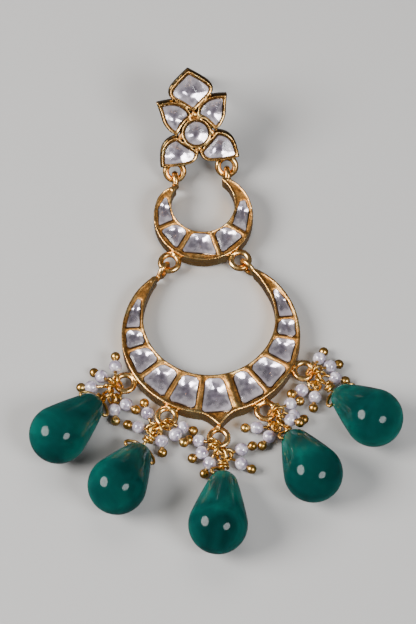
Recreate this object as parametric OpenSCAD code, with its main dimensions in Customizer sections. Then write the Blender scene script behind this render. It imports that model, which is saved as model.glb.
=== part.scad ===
// Crescent dangle earring with stone-set gold, pearl clusters and five green drops.
// The earring lies on its back: X is its width, Y runs up its length, Z is up from the table.
// All sizes are in millimetres.

/* [Large crescent] */
// radius of the outer edge
large_outer_r = 14.75; // [10:0.05:20]
// radius of the opening's edge
large_inner_r = 10.95; // [7:0.05:15]
// distance from the outer circle's centre up to the opening's centre
large_offset = 3.3; // [1:0.1:6]
// front to back thickness of the setting
crescent_h = 2.8; // [1.5:0.1:5]
// half angle of the gap between the two arms
large_gap_angle = 41; // [20:1:70]
// how far the bottom point stands out from the outer circle
large_point = 2.15; // [0:0.05:4]

/* [Small crescent] */
// radius of the outer edge
small_outer_r = 8.37; // [5:0.01:12]
// radius of the opening's edge
small_inner_r = 5.37; // [3:0.01:8]
// lift of the upper end, in degrees
small_tilt = 4; // [0:0.5:15]

/* [Flower top] */
// front to back thickness of the flower
flower_h = 2.8; // [1.5:0.1:4]
// how far the flower leans back on its post, in degrees
flower_tilt = 42; // [20:1:60]
// turn of the flower in its own plane, in degrees
flower_lean = 3.8; // [-10:0.1:10]
// wall of the gold collar around each stone
collar_wall = 0.45; // [0.3:0.05:0.8]
// radius of the ear post
post_r = 0.62; // [0.4:0.01:0.8]

/* [Stones] */
// gap between a stone and its setting
stone_gap = 0.05; // [0.02:0.01:0.15]
// depth of a stone's pocket below the gold foil
pocket_depth = 1.2; // [0.6:0.1:2]
// height of a stone's flat top over the gold foil
stone_rise = 0.45; // [0.1:0.05:1]

/* [Soldered rings] */
// radius of a soldered ring, to the middle of its wire
ring_r = 1.5; // [1:0.05:2.5]
// radius of its wire
ring_wire_r = 0.4; // [0.2:0.01:0.6]

/* [Drops] */
// radius of a drop's round end
drop_r = 4.75; // [3:0.05:7]
// radius of its blunt tip
tip_r = 2.45; // [1:0.05:4]
// radius of the hole drilled across the tip
drop_hole_r = 0.36; // [0.2:0.01:0.6]
// distance from the tip to that hole
drop_hole_at = 1.5; // [1:0.1:3]
// radius of the wire that hangs a drop
drop_wire_r = 0.19; // [0.1:0.01:0.3]

/* [Pearls] */
// radius of a pearl
pearl_r = 1.08; // [0.8:0.05:2]
// radius of the gold ball at the end of a pin
ball_r = 0.79; // [0.4:0.05:1.5]
// radius of a pin's wire
pin_wire_r = 0.12; // [0.1:0.01:0.25]
// radius of a pin's eye, to the middle of its wire
pin_eye_r = 0.72; // [0.5:0.01:1.2]
// radius of the loose ring that gathers a cluster
gather_r = 1.45; // [1:0.05:2]
// radius of its wire
gather_wire_r = 0.18; // [0.1:0.01:0.3]

/* [Hidden] */
$fn = 48;

// place of the drawing's origin, so that the part sits centred over its own foot
shift = [0.62, -0.45, 0];

// large crescent, drawn flat with its back on the table
large_centre = [0, -5.6];
large_opening = large_centre + [0, large_offset];
large_hub = [0, -4];
large_rim = 0.35;
large_inner_rim = 0.3;
foil_z = crescent_h - 0.25;
large_pocket_outer = large_outer_r - 0.65;
large_pocket_inner = large_inner_r + 0.6;
large_dividers = [12, 33, 55, 75.5, 92];
// half the width of the gold between two stones, at each of these headings
large_divider_halves = [0.5, 0.46, 0.42, 0.32, 0.27];
// the same at the widest one, right of the lowest stone
wide_divider_half = 0.82;
large_tip_angle = 118;
large_mid_angle = 106;
large_tip_half = 0.32;
// angle from straight up where an arm starts to narrow, and where its foil ends
large_narrow_angle = 60;
large_foil_end = 45;
nose_r = 0.4;

// bottom point of the large crescent, above and below the outer circle's lowest line
point_rows = [
  // x, y
  [3.4, 0.65],
  [1.9, -0.24],
  [1.0, -1.05],
  [0.35, -1.83],
  [0, -2.15],
];
// the same point of the sunk foil inside the rim
foil_point_rows = [
  // x, y
  [2.9, 0.95],
  [1.5, 0],
  [0.75, -0.7],
  [0, -1.4],
];

// soldered rings of the large crescent and what hangs from them
cluster_rows = [
  // ring angle, ring reach, roll of the loose ring, heading of its pull
  [-63.6, 16.45, -50, -54],
  [-30.9, 16.4, 50, -38],
  [-0.9, 18.6, -50, 3],
  [28.6, 16.3, 50, 39],
  [62.9, 16.45, 50, 47],
];

// drops: x and y of the round end's centre, heading, length, turn of the hole about the axis
drop_rows = [
  // x, y, heading, length, turn
  [-26.1, -23.1, -43, 15.1, 10],
  [-17.3, -32.9, -30.5, 14.3, 20],
  [-1.86, -41.1, -10.5, 15.5, 45],
  [14.1, -33.4, 17, 14.4, 35],
  [24.85, -24.35, 38, 13.9, 0],
];

// pins of each cluster: place on the loose ring, heading, lift of the pearl, bare wire before the pearl
pin_rows = [
  [
    // place, heading, lift, bare
    [-101, 176, 0.9, 0.4],
    [-70, -138, 0, 0.5],
    [-40, -104, 0, 1.1],
    [40, 4, 0, 0],
    [70, 51, 0, 0],
  ],
  [
    // place, heading, lift, bare
    [-70, -168, 0, 0.6],
    [-42, -112, 0, 0.1],
    [41, 0, 0, 0],
    [71, 43, 0.7, 0.2],
    [101, 76, 0, 0.5],
  ],
  [
    // place, heading, lift, bare
    [-101, -112.5, 0, 0.5],
    [-73, -74, 0, 0.2],
    [-44, -35, 0, 0.35],
    [40, 58, 0, 0.7],
    [70, 103, 0, 0.3],
  ],
  [
    // place, heading, lift, bare
    [-70, -90, 0, 0.6],
    [-40, -42, 0, 0],
    [77, 77.5, 0, 0.6],
    [37, 50, 2.1, 0.1],
    [106, 114, 0, 0.85],
  ],
  [
    // place, heading, lift, bare
    [-70, -69, 0, 0],
    [-40, -14, 0, 0],
    [41, 80, 0, 0.7],
    [70, 114, 0, 0.6],
    [100, 150, 0, 0.5],
  ],
];

// node names, in the order of the earring from its top down

// headings are measured from straight down the earring towards its right side
function heading(a) = [sin(a), -cos(a)];
function across(a) = [cos(a), sin(a)];
function xyz(p, z) = [p[0], p[1], z];
function unit(v) = v / norm(v);

// far point where a line from p along d leaves the circle of radius r about c
function leaves(p, d, c, r) =
  let (q = c - p, along = q * d)
  p + d * (along + sqrt(along * along - q * q + r * r));

// moves each edge of a closed outline inwards by d, for an outline that runs anticlockwise
function edge_normal(a, b) = let (e = unit(b - a)) [-e[1], e[0]];
function inset(pts, d) =
  let (n = len(pts))
  [for (i = [0:n - 1])
    let (
      before = edge_normal(pts[(i + n - 1) % n], pts[i]),
      after = edge_normal(pts[i], pts[(i + 1) % n])
    )
    pts[i] + (before + after) * d / (1 + before * after)];

// mean of a list of points
function sum(v, i = 0) = i < len(v) - 1 ? v[i] + sum(v, i + 1) : v[i];
function middle(pts) = sum(pts) / len(pts);
function shrink(pts, k) = let (c = middle(pts)) [for (p = pts) c + (p - c) * k];

// rounds an outline of rows x, y, round, where round is 0 at a sharp corner and 1 on a curve
function smooth(rows, steps) =
  let (n = len(rows), p = [for (r = rows) [r[0], r[1]]])
  [for (i = [0:n - 1]) for (k = [0:steps - 1])
    let (
      j = (i + 1) % n,
      t = k / steps,
      m0 = rows[i][2] * (p[j] - p[(i + n - 1) % n]) / 2,
      m1 = rows[j][2] * (p[(j + 1) % n] - p[i]) / 2
    )
    p[i] * (2 * pow(t, 3) - 3 * t * t + 1) + m0 * (pow(t, 3) - 2 * t * t + t)
      + p[j] * (3 * t * t - 2 * pow(t, 3)) + m1 * (pow(t, 3) - t * t)];

// cuts each corner of an outline back by c
function chamfer(pts, c) =
  let (n = len(pts))
  [for (i = [0:n - 1]) for (s = [-1, 1])
    pts[i] + c * unit(pts[(i + n + s) % n] - pts[i])];

// straight rod between two points
module rod(a, b, r) {
  d = b - a;
  translate(a)
    rotate([0, acos(d[2] / norm(d)), atan2(d[1], d[0])])
      cylinder(h = norm(d), r = r);
}

// wire ring in the XY plane
module wire_ring(r, wire) {
  rotate_extrude(convexity = 4)
    translate([r, 0])
      circle(r = wire, $fn = 24);
}

// flat-topped cut stone: straight girdle, two rows of facets, flat table
module cut_stone(body, floor_z, foil) {
  n = len(body);
  rings = [
    [for (p = shrink(body, 0.9)) xyz(p, floor_z + stone_gap)],
    [for (p = body) xyz(p, floor_z + stone_gap + 0.4)],
    [for (p = body) xyz(p, foil + 0.08)],
    [for (p = shrink(body, 0.88)) xyz(p, foil + stone_rise * 0.62)],
    [for (p = shrink(body, 0.66)) xyz(p, foil + stone_rise)],
  ];
  last = len(rings) - 1;
  c = middle(body);
  points = concat([for (ring = rings) each ring],
    [xyz(c, floor_z + stone_gap), xyz(c, foil + stone_rise)]);
  bottom = len(points) - 2;
  top = len(points) - 1;
  faces = concat(
    [for (i = [0:n - 1]) [bottom, i, (i + 1) % n]],
    [for (k = [0:last - 1]) for (i = [0:n - 1])
      [k * n + i, (k + 1) * n + i, (k + 1) * n + (i + 1) % n, k * n + (i + 1) % n]],
    [for (i = [0:n - 1]) [top, last * n + (i + 1) % n, last * n + i]]
  );
  polyhedron(points = points, faces = faces);
}

// Large crescent

// outline of a stone between the headings a and b, anticlockwise
function wedge_stone(hub, a, b, half_a, half_b, centre, outer, opening, inner) =
  let (
    pa = hub + half_a * across(a),
    pb = hub - half_b * across(b)
  )
  [leaves(pa, heading(a), centre, outer), leaves(pb, heading(b), centre, outer),
   leaves(pb, heading(b), opening, inner), leaves(pa, heading(a), opening, inner)];

// stone at the end of an arm, between a divider at a and its blunt upper end at b
function arm_stone(hub, a, m, b, half_a, half_tip, centre, outer, opening, inner) =
  let (
    pa = hub + half_a * across(a),
    tip = (leaves(hub, heading(b), centre, outer) + leaves(hub, heading(b), opening, inner)) / 2,
    q = leaves(hub, heading(m), centre, outer)
  )
  [leaves(pa, heading(a), centre, outer), q, tip + half_tip * heading(b), tip - half_tip * heading(b),
   leaves(pa, heading(a), opening, inner + 0.1)];

function mirrored(pts) = [for (i = [len(pts) - 1:-1:0]) [-pts[i][0], pts[i][1]]];

function large_wedge(i, half_a, half_b) =
  wedge_stone(large_hub, large_dividers[i], large_dividers[i + 1], half_a, half_b,
    large_centre, large_pocket_outer, large_opening, large_pocket_inner);
large_side = [for (i = [0:3]) large_wedge(i, large_divider_halves[i], large_divider_halves[i + 1])];
large_beside_wide = large_wedge(0, wide_divider_half, large_divider_halves[1]);
large_tip = arm_stone(large_hub, large_dividers[4], large_mid_angle, large_tip_angle,
  large_divider_halves[4], large_tip_half,
  large_centre, large_pocket_outer, large_opening, large_pocket_inner);
large_mid = let (
  s = wedge_stone(large_hub, -large_dividers[0], large_dividers[0],
    large_divider_halves[0], wide_divider_half,
    large_centre, large_pocket_outer, large_opening, large_pocket_inner)
) [s[0] - [0, 0.55], s[1] - [0, 0.55], s[2], s[3]];
corner_cut = 0.5;
large_outlines = concat(
  [mirrored(large_tip)],
  [for (i = [3:-1:0]) mirrored(chamfer(large_side[i], corner_cut))],
  [chamfer(large_mid, corner_cut)],
  [chamfer(large_beside_wide, corner_cut)],
  [for (i = [1:3]) chamfer(large_side[i], corner_cut)],
  [large_tip]
);

function point_outline(rows) =
  let (low = large_centre[1] - large_outer_r, k = large_point / 2.15, last = len(rows) - 1)
  concat([for (r = rows) [r[0], low + k * r[1]]],
    [for (i = [last - 1:-1:0]) [-rows[i][0], low + k * rows[i][1]]]);

// wedge that opens upwards from the hub, with half angle a
module gap_wedge(hub, a, b, reach) {
  polygon([hub, hub + reach * [sin(b), cos(b)], hub + reach * [0, 1.5],
    hub + reach * [-sin(a), cos(a)]]);
}

// an arm between the angles start and stop from straight up, on the side s, less a rim on both its edges;
// from the angle narrow on it narrows to its tip, a round nose of radius nose[1] at the reach nose[0]
module arm_piece(hub, s, start, narrow, end, stop, centre, outer, opening, inner, nose, rim) {
  steps = 12;
  rows = [for (i = [0:steps])
    let (
      a = start + (stop - start) * i / steps,
      d = [s * sin(a), cos(a)],
      far = norm(leaves(hub, d, centre, outer) - hub),
      near = norm(leaves(hub, d, opening, inner) - hub),
      t = pow(max(0, (narrow - a) / (narrow - end)), 2)
    )
    [d, near + (nose[0] - nose[1] - near) * t + rim, far + (nose[0] + nose[1] - far) * t - rim]];
  polygon(concat([for (r = rows) hub + r[2] * r[0]],
    [for (i = [steps:-1:0]) hub + rows[i][1] * rows[i][0]]));
}

module large_outline() {
  difference() {
    union() {
      translate(large_centre)
        circle(r = large_outer_r, $fn = 180);
      polygon(point_outline(point_rows));
    }
    translate(large_opening)
      circle(r = large_inner_r, $fn = 180);
    gap_wedge(large_hub, large_narrow_angle, large_narrow_angle, 30);
  }
  for (s = [-1, 1])
    large_arm(s, large_narrow_angle + 0.5, large_gap_angle, 0);
}

module large_arm(s, start, stop, rim) {
  arm_piece(large_hub, s, start, large_narrow_angle, large_gap_angle, stop,
    large_centre, large_outer_r, large_opening, large_inner_r, [nose_reach, nose_r], rim);
}

// place of an arm's rounded end
nose_reach = 12.93;
function nose(s) = large_hub + nose_reach * [s * sin(large_gap_angle), cos(large_gap_angle)];

// ring with a bead of solder where it meets the rim: c its centre, a the heading away from the rim
solder_r = 0.62;
module soldered_ring(c, z, a) {
  translate(xyz(c, z))
    wire_ring(ring_r, ring_wire_r);
  translate(xyz(c - (ring_r + 0.15) * heading(a), z))
    sphere(r = solder_r);
}

function ring_centre(k) = large_centre + cluster_rows[k][1] * heading(cluster_rows[k][0]);

// upright loop that reaches from an arm's end round the next piece's ring
function loop_centre(tip, ring, back) = ring - (ring_r + back) * unit(ring - tip);
module upright_loop(c, z, d, r, wire) {
  translate(xyz(c, z))
    rotate([90, 0, atan2(d[1], d[0])])
      wire_ring(r, wire);
}

loop_r = 1.3;
loop_wire_r = 0.42;
link_z = 1.7;
large_tip_at = [7.95, 6.15];
small_ring_left = [-5.7, 9.02];
small_ring_right = [6.1, 8.5];

module large_crescent() {
  color("goldenrod")
    difference() {
      union() {
        linear_extrude(crescent_h, convexity = 6)
          large_outline();
        for (s = [-1, 1])
          translate(xyz(nose(s), 0))
            cylinder(h = crescent_h, r = nose_r);
        for (k = [0:4])
          soldered_ring(ring_centre(k), crescent_h / 2, cluster_rows[k][0]);
        large_loop([-large_tip_at[0], large_tip_at[1]], small_ring_left);
        large_loop(large_tip_at, small_ring_right);
      }
      translate([0, 0, foil_z])
        linear_extrude(1, convexity = 6)
          large_channel();
      for (o = large_outlines)
        translate([0, 0, foil_z - pocket_depth])
          linear_extrude(crescent_h, convexity = 2)
            polygon(o);
    }
}

module large_channel() {
  difference() {
    union() {
      translate(large_centre)
        circle(r = large_outer_r - large_rim, $fn = 180);
      polygon(point_outline(foil_point_rows));
    }
    translate(large_opening)
      circle(r = large_inner_r + large_inner_rim, $fn = 180);
    gap_wedge(large_hub, large_narrow_angle, large_narrow_angle, 40);
  }
  for (s = [-1, 1])
    large_arm(s, large_narrow_angle + 0.5, large_foil_end, large_inner_rim);
}

module large_loop(tip, ring) {
  c = loop_centre(tip, ring, 0.33);
  upright_loop(c, link_z, ring - tip, loop_r, loop_wire_r);
  rod(xyz(tip - 0.5 * unit(ring - tip), link_z), xyz(c - loop_r * unit(ring - tip), link_z), 0.5);
}

module large_stone(i) {
  color("lightsteelblue")
    cut_stone(inset(large_outlines[i], stone_gap), foil_z - pocket_depth, foil_z);
}

// Small crescent, drawn about its middle plane and then tilted about its lower rings

small_centre = [0.62, 16.8];
small_opening = [0.74, 19.04];
small_hub = [0.65, 17.8];
small_dividers = [-70, -33, 14, 53];
small_divider_half = 0.42;
small_pocket_outer = small_outer_r - 0.6;
small_pocket_inner = small_inner_r + 0.45;
small_rim = 0.25;
// angles from straight up where each arm starts to narrow, ends, and where its foil ends
small_left_angles = [70, 45, 50];
small_right_angles = [60, 36, 41];
small_foil = foil_z - crescent_h / 2;
hinge_y = 8.8;

small_corner_cut = 0.42;

function small_wedge(a, b) = wedge_stone(small_hub, a, b, small_divider_half, small_divider_half,
  small_centre, small_pocket_outer, small_opening, small_pocket_inner);
small_outlines = [
  mirrored(small_arm(mirror_x(small_hub), -small_dividers[0], 97, 116, 0.2,
    mirror_x(small_centre), mirror_x(small_opening), small_pocket_inner)),
  chamfer(small_wedge(small_dividers[0], small_dividers[1]), small_corner_cut),
  chamfer(small_wedge(small_dividers[1], small_dividers[2]), small_corner_cut),
  chamfer(small_wedge(small_dividers[2], small_dividers[3]), small_corner_cut),
  small_arm(small_hub, small_dividers[3], 84, 101, 0.45, small_centre, small_opening,
    small_pocket_inner + 0.35),
];
function mirror_x(p) = [-p[0], p[1]];
function small_arm(hub, a, m, b, half_tip, centre, opening, inner) =
  arm_stone(hub, a, m, b, small_divider_half, half_tip, centre, small_pocket_outer, opening, inner);

module on_small_plane() {
  translate([0, hinge_y, link_z])
    rotate([small_tilt, 0, 0])
      translate([0, -hinge_y, 0])
        children();
}

module small_outline() {
  difference() {
    translate(small_centre)
      circle(r = small_outer_r, $fn = 144);
    translate(small_opening)
      circle(r = small_inner_r, $fn = 144);
    gap_wedge(small_hub, small_left_angles[0], small_right_angles[0], 20);
  }
  small_arm_piece(-1, small_left_angles, small_nose_left, small_left_angles[1], 0);
  small_arm_piece(1, small_right_angles, small_nose_right, small_right_angles[1], 0);
}

module small_arm_piece(s, angles, nose, stop, rim) {
  arm_piece(small_hub, s, angles[0] + 0.5, angles[0], angles[1], stop,
    small_centre, small_outer_r, small_opening, small_inner_r, [norm(nose - small_hub), small_nose_r], rim);
}

small_nose_left = [-3.92, 22.42];
small_nose_right = [4.75, 23.4];
small_nose_r = 0.42;

module small_crescent() {
  color("goldenrod")
    union() {
      on_small_plane()
        difference() {
          union() {
            translate([0, 0, -crescent_h / 2])
              linear_extrude(crescent_h, convexity = 6)
                small_outline();
            for (p = [small_nose_left, small_nose_right])
              translate(xyz(p, -crescent_h / 2))
                cylinder(h = crescent_h, r = small_nose_r);
            soldered_ring(small_ring_left, 0, -39);
            soldered_ring(small_ring_right, 0, 33);
          }
          translate([0, 0, small_foil])
            linear_extrude(1, convexity = 6)
              small_channel();
          for (o = small_outlines)
            translate([0, 0, small_foil - pocket_depth])
              linear_extrude(crescent_h, convexity = 2)
                polygon(o);
        }
      top_link(small_nose_left, flower_ring_left);
      top_link(small_nose_right, flower_ring_right);
    }
}

module small_channel() {
  difference() {
    translate(small_centre)
      circle(r = small_outer_r - small_rim, $fn = 144);
    translate(small_opening)
      circle(r = small_inner_r + small_rim, $fn = 144);
    gap_wedge(small_hub, small_left_angles[0], small_right_angles[0], 30);
  }
  small_arm_piece(-1, small_left_angles, small_nose_left, small_left_angles[2], small_rim);
  small_arm_piece(1, small_right_angles, small_nose_right, small_right_angles[2], small_rim);
}

module small_stone(i) {
  color("lightsteelblue")
    on_small_plane()
      cut_stone(inset(small_outlines[i], stone_gap), small_foil - pocket_depth, small_foil);
}

// Flower top, drawn in its own plane from the line of its two rings upwards

flower_at = [1.04, 26.48, 2.28];
top_loop_r = 1.15;
top_loop_wire_r = 0.41;

spade_rows = [
  // x, y, round
  [0, 17.3, 0],
  [-1.9, 15.9, 1],
  [-3.3, 14.55, 1],
  [-3.55, 13.5, 1],
  [-2.9, 12.65, 1],
  [-1.6, 11.7, 1],
  [0, 10.3, 0],
];
leaf_rows = [
  // x, y, round
  [-5.8, 12.25, 0],
  [-5.4, 10.4, 1],
  [-5.1, 8.8, 1],
  [-4.15, 7.3, 1],
  [-3.2, 6.8, 0],
  [-2.7, 7.6, 1],
  [-1.7, 8.75, 1],
  [-0.45, 9.5, 0],
  [-1.0, 10.9, 1],
  [-2.2, 11.95, 1],
  [-3.7, 12.4, 1],
];
half_leaf_rows = [
  // x, y, round
  [-3.5, 6.3, 0],
  [-5.0, 5.75, 1],
  [-6.0, 4.6, 1],
  [-6.4, 3.1, 1],
  [-6.55, 1.55, 0],
  [-4.1, 1.35, 1],
  [-1.7, 1.5, 1],
  [-0.6, 2.2, 1],
  [-0.2, 3.3, 0],
  [-1.1, 4.1, 1],
  [-2.2, 5.1, 1],
];
centre_stone_at = [0, 6.55];
centre_collar_r = 2.5;

round_rows = [for (i = [0:11]) [centre_stone_at[0] + centre_collar_r * cos(i * 30),
  centre_stone_at[1] + centre_collar_r * sin(i * 30), 1]];
function flip(rows) = [for (i = [len(rows) - 1:-1:0]) [-rows[i][0], rows[i][1], rows[i][2]]];
flower_rows = [
  concat(spade_rows, [for (i = [1:len(spade_rows) - 2]) flip(spade_rows)[i]]),
  leaf_rows,
  flip(leaf_rows),
  round_rows,
  half_leaf_rows,
  flip(half_leaf_rows),
];
// outline of a petal's collar, moved inwards by d and then rounded
function petal(rows, d) =
  let (moved = inset([for (r = rows) [r[0], r[1]]], d))
  smooth([for (i = [0:len(rows) - 1]) [moved[i][0], moved[i][1], rows[i][2]]], 3);
flower_foil = flower_h / 2 - 0.1;

module on_flower_plane() {
  translate(flower_at)
    rotate([flower_tilt, 0, 0])
      rotate([0, 0, flower_lean])
        children();
}

// a point of the flower's plane, x and y, with its height over that plane
function from_flower(p, h) =
  let (
    x = p[0] * cos(flower_lean) - p[1] * sin(flower_lean),
    y = p[0] * sin(flower_lean) + p[1] * cos(flower_lean)
  )
  flower_at + [x, y * cos(flower_tilt) - h * sin(flower_tilt), y * sin(flower_tilt) + h * cos(flower_tilt)];

flower_ring_spots = [[-4.5, 0.35], [4.4, 0.0]];
flower_ring_left = from_flower(flower_ring_spots[0], 0);
flower_ring_right = from_flower(flower_ring_spots[1], 0);

// loop and stem that join an arm of the small crescent to a ring of the flower
module top_link(arm, ring) {
  near = ring - ring_r * [0, cos(flower_tilt), sin(flower_tilt)];
  c = near + [0, -0.2, 0.2];
  start = xyz(arm, link_z + (arm[1] - hinge_y) * sin(small_tilt));
  back = unit(start - c);
  rod(start, c + top_loop_r * back, 0.46);
  translate(c)
    rotate([90, 0, 90])
      wire_ring(top_loop_r, top_loop_wire_r);
}

module top_setting() {
  color("goldenrod")
    on_flower_plane()
      difference() {
        union() {
          for (rows = flower_rows) {
            translate([0, 0, -flower_h / 2])
              linear_extrude(flower_h, convexity = 3)
                polygon(petal(rows, 0));
            translate([0, 0, -flower_h / 2])
              linear_extrude(flower_h * 0.62, convexity = 3)
                polygon(petal(rows, -0.22));
          }
          for (p = flower_ring_spots)
            soldered_ring(p, 0, 0);
        }
        for (rows = flower_rows)
          translate([0, 0, flower_foil - pocket_depth])
            linear_extrude(flower_h, convexity = 3)
              polygon(petal(rows, collar_wall));
      }
}

module top_stone(i) {
  color("lightsteelblue")
    on_flower_plane()
      cut_stone(petal(flower_rows[i], collar_wall + stone_gap), flower_foil - pocket_depth, flower_foil);
}

post_spot = [2.0, 13.5];
post_pad_r = 1.5;
post_pad_t = 0.5;
post_foot = from_flower(post_spot, -flower_h / 2);
post_length = (post_foot[2] - post_r * sin(flower_tilt)) / cos(flower_tilt);

module ear_post() {
  color("gold")
    on_flower_plane()
      translate(xyz(post_spot, -flower_h / 2))
        rotate([180, 0, 0])
          rotate_extrude(convexity = 4)
            polygon([[0, 0], [post_pad_r, 0], [post_pad_r, post_pad_t * 0.6], [post_r, post_pad_t * 1.6],
              [post_r, post_length - 0.35], [post_r - 0.25, post_length], [0, post_length]]);
}

// Clusters: a loose ring through each soldered ring gathers five pearl pins and a drop's wire

gather_pitch = 25;
gather_ahead = 0.5;

function pull(k) = let (a = cluster_rows[k][3])
  [sin(a) * cos(gather_pitch), -cos(a) * cos(gather_pitch), sin(gather_pitch)];
function gather_across(k) = let (
    a = cluster_rows[k][3],
    roll = cluster_rows[k][2],
    level = [cos(a), sin(a), 0],
    up = cross(pull(k), level)
  )
  cos(roll) * level + sin(roll) * up;
function gather_centre(k) =
  xyz(ring_centre(k) + ring_r * heading(cluster_rows[k][3]), crescent_h / 2) + gather_ahead * pull(k);
function gather_point(k, a) = gather_centre(k) + gather_r * (cos(a) * pull(k) + sin(a) * gather_across(k));
function gather_tangent(k, a) = cos(a) * gather_across(k) - sin(a) * pull(k);

// lays a child whose X runs along d and whose Z runs as near to t as it can
module laid(at, d, t) {
  z = unit(t - (t * d) * d);
  y = cross(z, d);
  multmatrix([
    [d[0], y[0], z[0], at[0]],
    [d[1], y[1], z[1], at[1]],
    [d[2], y[2], z[2], at[2]],
    [0, 0, 0, 1],
  ])
    children();
}

module jump_ring(k) {
  color("gold")
    laid(gather_centre(k), pull(k), cross(pull(k), gather_across(k)))
      wire_ring(gather_r, gather_wire_r);
}

eye_seat = pin_eye_r - pin_wire_r - gather_wire_r - 0.15;
pearl_at = pin_eye_r + pin_wire_r + 0.08 + pearl_r;
ball_after = pearl_r + ball_r + 0.02;

// direction of a pin that rests on its pearl or on its ball, whichever is higher
function pin_direction(k, row) =
  let (
    z = gather_point(k, row[0])[2],
    pearl_reach = eye_seat + pearl_at + row[3],
    slope = max((pearl_r - z) / pearl_reach, (ball_r - z) / (pearl_reach + ball_after))
      + row[2] / pearl_reach,
    level = sqrt(1 - slope * slope)
  )
  [sin(row[1]) * level, -cos(row[1]) * level, slope];

module on_pin(k, row) {
  d = pin_direction(k, row);
  laid(gather_point(k, row[0]) + eye_seat * d, d, gather_tangent(k, row[0]))
    children();
}

module pearl_pins(k) {
  color("gold")
    for (row = pin_rows[k])
      on_pin(k, row) {
        wire_ring(pin_eye_r, pin_wire_r);
        translate([pin_eye_r, 0, 0])
          rotate([0, 90, 0])
            cylinder(h = pearl_at + row[3] + ball_after - pin_eye_r, r = pin_wire_r + 0.01);
        translate([pearl_at + row[3] + ball_after, 0, 0])
          rotate([0, 90, 0])
            difference() {
              sphere(r = ball_r);
              translate([0, 0, ball_r - 0.35])
                cylinder(h = 1, r = 0.22);
            }
      }
}

module pearls(k) {
  color("ghostwhite")
    for (row = pin_rows[k])
      on_pin(k, row)
        translate([pearl_at + row[3], 0, 0])
          rotate([0, 90, 0])
            difference() {
              sphere(r = pearl_r);
              translate([0, 0, -pearl_r - 1])
                cylinder(h = 2 * pearl_r + 2, r = pin_wire_r + 0.07);
            }
}

// Drops, turned from a profile that runs from the tip to the round end

flank_bow = 0.08;

// profile height h and radius of a drop of length l: tip circle, bowed flank, end circle
function drop_slope(l) = (drop_r - tip_r) / (l - drop_r - tip_r);
function drop_profile(l) =
  let (
    a = asin(drop_slope(l)),
    steps = 12,
    tip = [for (i = [0:steps]) let (t = i / steps * (90 - a)) [tip_r * sin(t), tip_r - tip_r * cos(t)]],
    end = [for (i = [0:steps]) let (t = 90 - a + i / steps * (90 + a))
      [drop_r * sin(t), l - drop_r - drop_r * cos(t)]],
    from = tip[steps],
    to = end[0],
    out = [cos(a), -sin(a)],
    flank = [for (i = [1:steps - 1]) let (t = i / steps)
      from + (to - from) * t + out * flank_bow * 4 * t * (1 - t)]
  )
  concat([for (i = [0:steps]) i == 0 ? [0, 0] : tip[i]], flank,
    [for (i = [0:steps]) i == steps ? [0, l] : end[i]]);

function drop_rise(k) = asin(drop_slope(drop_rows[k][3]));
function drop_axis(k) = let (a = drop_rows[k][2], e = drop_rise(k))
  [sin(a) * cos(e), -cos(a) * cos(e), sin(e)];
function drop_tip(k) =
  [drop_rows[k][0], drop_rows[k][1], drop_r + flank_bow] - (drop_rows[k][3] - drop_r) * drop_axis(k);

// lays a child whose Z runs from the drop's tip to its round end and whose X runs along its hole
module on_drop(k) {
  d = drop_axis(k);
  side = unit(cross(d, [0, 0, 1]));
  up = cross(side, d);
  turn = drop_rows[k][4];
  x = cos(turn) * side + sin(turn) * up;
  y = cross(d, x);
  p = drop_tip(k);
  multmatrix([
    [x[0], y[0], d[0], p[0]],
    [x[1], y[1], d[1], p[1]],
    [x[2], y[2], d[2], p[2]],
    [0, 0, 0, 1],
  ])
    children();
}

module drop(k) {
  color("seagreen")
    on_drop(k)
      difference() {
        rotate_extrude(convexity = 4)
          polygon(drop_profile(drop_rows[k][3]));
        translate([-tip_r - 1, 0, drop_hole_at])
          rotate([0, 90, 0])
            cylinder(h = 2 * tip_r + 2, r = drop_hole_r);
      }
}

// wire of a drop: through its hole, up to the neck, round an eye on the loose ring, and back down in wraps

wire_eye_r = 0.88;
wire_seat = 0.26;
wrap_r = 0.66;
wrap_pitch = 0.43;
neck_gap = 0.45;
wire_sides = 6;

function drop_point(k, x, z) =
  let (
    d = drop_axis(k),
    side = unit(cross(d, [0, 0, 1])),
    turn = drop_rows[k][4]
  )
  drop_tip(k) + z * d + x * (cos(turn) * side + sin(turn) * cross(side, d));

// one side of the bow round the tip, from the neck down into the hole
bow_rows = [
  // across, along
  [0.29, -0.4],
  [0.6, -0.32],
  [1.5, -0.1],
  [2.45, 0.5],
  [2.82, 1.03],
  [2.72, 1.4],
  [2.4, 1.5],
];

function wire_path(k) =
  let (
    foot = gather_point(k, 0),
    bottom = drop_point(k, 0, -neck_gap),
    d = unit(bottom - foot),
    t = gather_tangent(k, 0),
    z = unit(t - (t * d) * d),
    y = cross(z, d),
    reach = norm(bottom - foot),
    neck = wire_seat + wire_eye_r + 0.3,
    turns = max(1, floor((reach - 0.38 - neck) / wrap_pitch)),
    last = len(bow_rows) - 1
  )
  concat(
    [for (row = bow_rows) drop_point(k, -row[0], row[1])],
    [for (i = [last:-1:0]) drop_point(k, bow_rows[i][0], bow_rows[i][1])],
    [for (p = [[neck + 0.25, 0, 0], [neck, 0.05, 0], [neck - 0.2, 0.2, 0]])
      foot + p[0] * d + p[1] * y + p[2] * z],
    [for (a = [35:24.2:326]) foot + (wire_seat + wire_eye_r * cos(a)) * d + wire_eye_r * sin(a) * y
      + 0.34 * ((a - 35) / 290 - 0.5) * z],
    [foot + (neck - 0.2) * d - 0.42 * y + 0.36 * z],
    [for (i = [0:turns * 9]) foot + (neck + i / 9 * wrap_pitch) * d
      + wrap_r * (cos(100 - i * 40) * y + sin(100 - i * 40) * z)]
  );

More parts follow.
